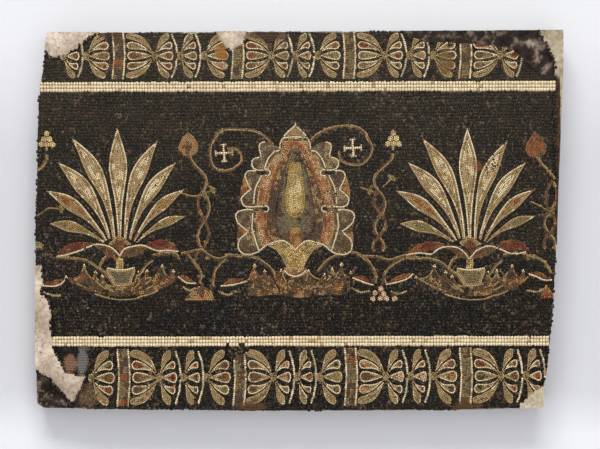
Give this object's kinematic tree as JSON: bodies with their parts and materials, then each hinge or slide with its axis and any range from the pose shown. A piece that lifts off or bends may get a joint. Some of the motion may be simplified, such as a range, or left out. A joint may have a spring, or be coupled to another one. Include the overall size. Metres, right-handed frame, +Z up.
{
  "type": "mosaic panel",
  "caption": "Flat wall panel of fine inlaid stone mosaic: fan plants and a lotus on a dark field between palmette borders, on a stone slab with worn plaster repairs.",
  "frame": {"origin": "on the flat back face, near its middle: 318 mm from the right end of the top edge, level with the middle of the height", "axes": "+Z up, +X to the right of someone looking at the picture, which faces -Y; +Y points into the wall"},
  "size_m": [0.6358, 0.0415, 0.4598],
  "materials": {
    "backing_stone": "rough-sawn grey stone with lime traces",
    "setting_mortar": "gritty lime mortar",
    "repair_plaster": "lumpy cream plaster with tan speckles",
    "margin_mortar": "pale gritty mortar",
    "exposed_mortar": "rough dark brown mortar",
    "dark_tesserae": "honed near-black stone cubes",
    "fillet_tesserae": "honed cream stone cubes",
    "palmette_tesserae": "honed cream, tan and brown stone cubes",
    "band_tesserae": "honed brown and purple stone cubes",
    "leaf_tesserae": "honed olive, tan and cream stone cubes",
    "acanthus_tesserae": "honed brown and orange stone cubes",
    "petal_tesserae": "honed dark red stone cubes",
    "bud_tesserae": "honed red-brown stone cubes",
    "cup_tesserae": "honed olive-grey stone cubes",
    "lobe_tesserae": "honed grey-brown stone cubes",
    "lotus_orange_tesserae": "honed orange and pink stone cubes",
    "cap_tesserae": "honed olive stone cubes",
    "heart_tesserae": "honed dark grey-purple stone cubes",
    "gold_tesserae": "honed yellow and olive stone cubes",
    "berry_tesserae": "honed pink-brown stone cubes"
  },
  "bodies": {
    "root": {"backing_slab": "backing_stone", "setting_bed": "setting_mortar", "plaster_top_left": "repair_plaster", "plaster_top_middle": "repair_plaster", "plaster_lower_left": "repair_plaster", "plaster_lower_right": "repair_plaster", "mortar_right_margin": "margin_mortar", "exposed_mortar_top_right": "exposed_mortar", "field_ground": "dark_tesserae", "upper_border_ground": "dark_tesserae", "lower_border_ground": "dark_tesserae", "upper_fillet": "fillet_tesserae", "lower_fillet": "fillet_tesserae", "upper_palmettes_1": "palmette_tesserae", "upper_palmettes_2": "palmette_tesserae", "upper_palmettes_3": "palmette_tesserae", "upper_palmettes_4": "palmette_tesserae", "upper_palmettes_5": "palmette_tesserae", "lower_palmettes_1": "palmette_tesserae", "lower_palmettes_2": "palmette_tesserae", "lower_palmettes_3": "palmette_tesserae", "lower_palmettes_4": "palmette_tesserae", "lower_palmettes_5": "palmette_tesserae", "upper_band_1": "band_tesserae", "upper_band_2": "band_tesserae", "upper_band_3": "band_tesserae", "upper_band_4": "band_tesserae", "lower_band_1": "band_tesserae", "lower_band_2": "band_tesserae", "lower_band_3": "band_tesserae", "lower_band_4": "band_tesserae", "left_plant_leaves": "leaf_tesserae", "left_plant_acanthus": "acanthus_tesserae", "left_plant_petals": "petal_tesserae", "left_plant_bud": "bud_tesserae", "left_plant_cup": "cup_tesserae", "right_plant_leaves": "leaf_tesserae", "right_plant_acanthus": "acanthus_tesserae", "right_plant_petals": "petal_tesserae", "right_plant_bud": "bud_tesserae", "right_plant_cup": "cup_tesserae", "lotus_acanthus": "acanthus_tesserae", "lotus_lobe_left_1": "lobe_tesserae", "lotus_lobe_right_1": "lobe_tesserae", "lotus_lobe_left_2": "lobe_tesserae", "lotus_lobe_right_2": "lobe_tesserae", "lotus_lobe_left_3": "lobe_tesserae", "lotus_lobe_right_3": "lobe_tesserae", "lotus_body": "lotus_orange_tesserae", "lotus_cap": "cap_tesserae", "lotus_heart": "heart_tesserae", "lotus_seed": "gold_tesserae", "lotus_calyx": "gold_tesserae", "berry_cluster_1": "berry_tesserae", "berry_cluster_2": "berry_tesserae", "berry_cluster_3": "berry_tesserae", "berry_cluster_4": "berry_tesserae"}
  },
  "joints": []
}
